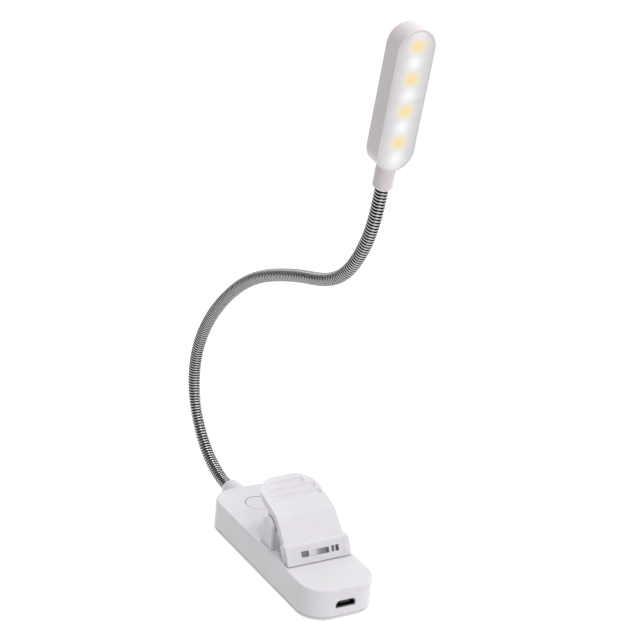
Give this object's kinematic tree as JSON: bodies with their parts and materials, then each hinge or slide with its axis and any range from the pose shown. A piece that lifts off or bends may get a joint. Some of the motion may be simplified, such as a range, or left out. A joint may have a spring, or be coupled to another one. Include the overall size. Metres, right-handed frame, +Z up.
{
  "type": "clip-on reading lamp",
  "caption": "Small clip-on reading lamp: sprung clip on a rechargeable base, bendable chrome gooseneck and a slim stadium-shaped LED head.",
  "frame": {"origin": "middle of the base block's underside, on the plane it stands on", "axes": "+Z up, -Y towards the end with the charging socket, +Y towards the end the gooseneck leaves, +X to the side on the right when the socket end faces the viewer"},
  "size_m": [0.028, 0.1279, 0.2079],
  "materials": {
    "black_plastic": "black moulded plastic",
    "board": "green solder mask",
    "chip": "black moulded package",
    "diffuser": "frosted translucent plastic",
    "foam": "double-sided foam tape",
    "grey_pad": "soft grey rubber",
    "lead": "insulated wire",
    "led_warm": "yellow phosphor",
    "led_white": "pale phosphor",
    "neck_chrome": "polished chrome wrap",
    "passive": "ceramic chip parts",
    "pouch": "foil pouch",
    "socket_steel": "stamped steel",
    "steel": "plain steel",
    "white_board": "white solder mask",
    "white_button": "satin moulded white plastic",
    "white_lever": "satin moulded white plastic",
    "white_shell": "satin moulded white plastic"
  },
  "bodies": {
    "base": {"base_top_shell": "white_shell", "base_bottom_cover": "white_shell", "cover_screws": "steel", "control_board": "board", "board_screws": "steel", "charge_chip": "chip", "driver_chip": "chip", "board_passives": "passive", "battery_foam_pad": "foam", "battery_cell": "pouch", "battery_leads": "lead", "usb_shell": "socket_steel", "usb_tongue": "black_plastic", "mode_switch_body": "black_plastic", "clip_axle": "steel", "clip_spring": "steel", "neck_collar": "white_shell", "neck_anchor_crimp": "steel", "neck_root": "neck_chrome", "neck_root_leads": "lead"},
    "clip_lever": {"clip_lever": "white_lever", "jaw_grip_pad": "grey_pad"},
    "mode_button": {"mode_button": "white_button", "mode_switch_plunger": "black_plastic"},
    "neck_1": {"neck_link_1": "neck_chrome", "neck_leads_1": "lead"},
    "neck_2": {"neck_link_2": "neck_chrome", "neck_leads_2": "lead"},
    "neck_3": {"neck_link_3": "neck_chrome", "neck_leads_3": "lead"},
    "neck_4": {"neck_link_4": "neck_chrome", "neck_leads_4": "lead"},
    "neck_5": {"neck_link_5": "neck_chrome", "neck_leads_5": "lead"},
    "neck_6": {"neck_link_6": "neck_chrome", "neck_leads_6": "lead"},
    "neck_7": {"neck_link_7": "neck_chrome", "neck_leads_7": "lead"},
    "head": {"neck_tip": "neck_chrome", "neck_tip_leads": "lead", "head_ferrule": "white_shell", "head_shell": "white_shell", "head_diffuser": "diffuser", "led_board": "white_board", "led_board_posts": "white_shell", "leds_white": "led_white", "leds_warm": "led_warm", "led_resistors": "chip"}
  },
  "joints": [
    {"name": "clip_open", "type": "hinge", "parent": "base", "child": "clip_lever", "pos_m": [0, -0.0033, 0.0195], "axis": [-1, 0, 0], "range_deg": [0, 30], "stiffness_Nm_per_rad": 0.12, "springref_deg": -51.57, "deforming": ["clip_spring"]},
    {"name": "mode_press", "type": "slide", "parent": "base", "child": "mode_button", "axis": [0, 0, -1], "range_m": [0, 0.0005], "stiffness_N_per_m": 900, "springref_m": -0.001},
    {"name": "neck_bend_1", "type": "hinge", "parent": "base", "child": "neck_1", "pos_m": [0, 0.05622, 0.00755], "axis": [1, 0, 0], "range_deg": [-25, 25]},
    {"name": "neck_sway_2", "type": "hinge", "parent": "neck_1", "child": "neck_2", "pos_m": [0, 0.0776, 0.02507], "axis": [0, -0.9013, 0.4333], "range_deg": [-25, 25]},
    {"name": "neck_bend_3", "type": "hinge", "parent": "neck_2", "child": "neck_3", "pos_m": [0, 0.07825, 0.05274], "axis": [-1, 0, 0], "range_deg": [-25, 25]},
    {"name": "neck_sway_4", "type": "hinge", "parent": "neck_3", "child": "neck_4", "pos_m": [0, 0.06227, 0.07611], "axis": [0, -0.719, -0.695], "range_deg": [-25, 25]},
    {"name": "neck_bend_5", "type": "hinge", "parent": "neck_4", "child": "neck_5", "pos_m": [0, 0.03995, 0.09367], "axis": [-1, 0, 0], "range_deg": [-25, 25]},
    {"name": "neck_sway_6", "type": "hinge", "parent": "neck_5", "child": "neck_6", "pos_m": [0, 0.01382, 0.10494], "axis": [0, 0.325, 0.9457], "range_deg": [-25, 25]},
    {"name": "neck_bend_7", "type": "hinge", "parent": "neck_6", "child": "neck_7", "pos_m": [0, -0.01276, 0.11497], "axis": [1, 0, 0], "range_deg": [-25, 25]},
    {"name": "neck_sway_8", "type": "hinge", "parent": "neck_7", "child": "head", "pos_m": [0, -0.02935, 0.13755], "axis": [0, 0.9428, 0.3334], "range_deg": [-25, 25]}
  ]
}
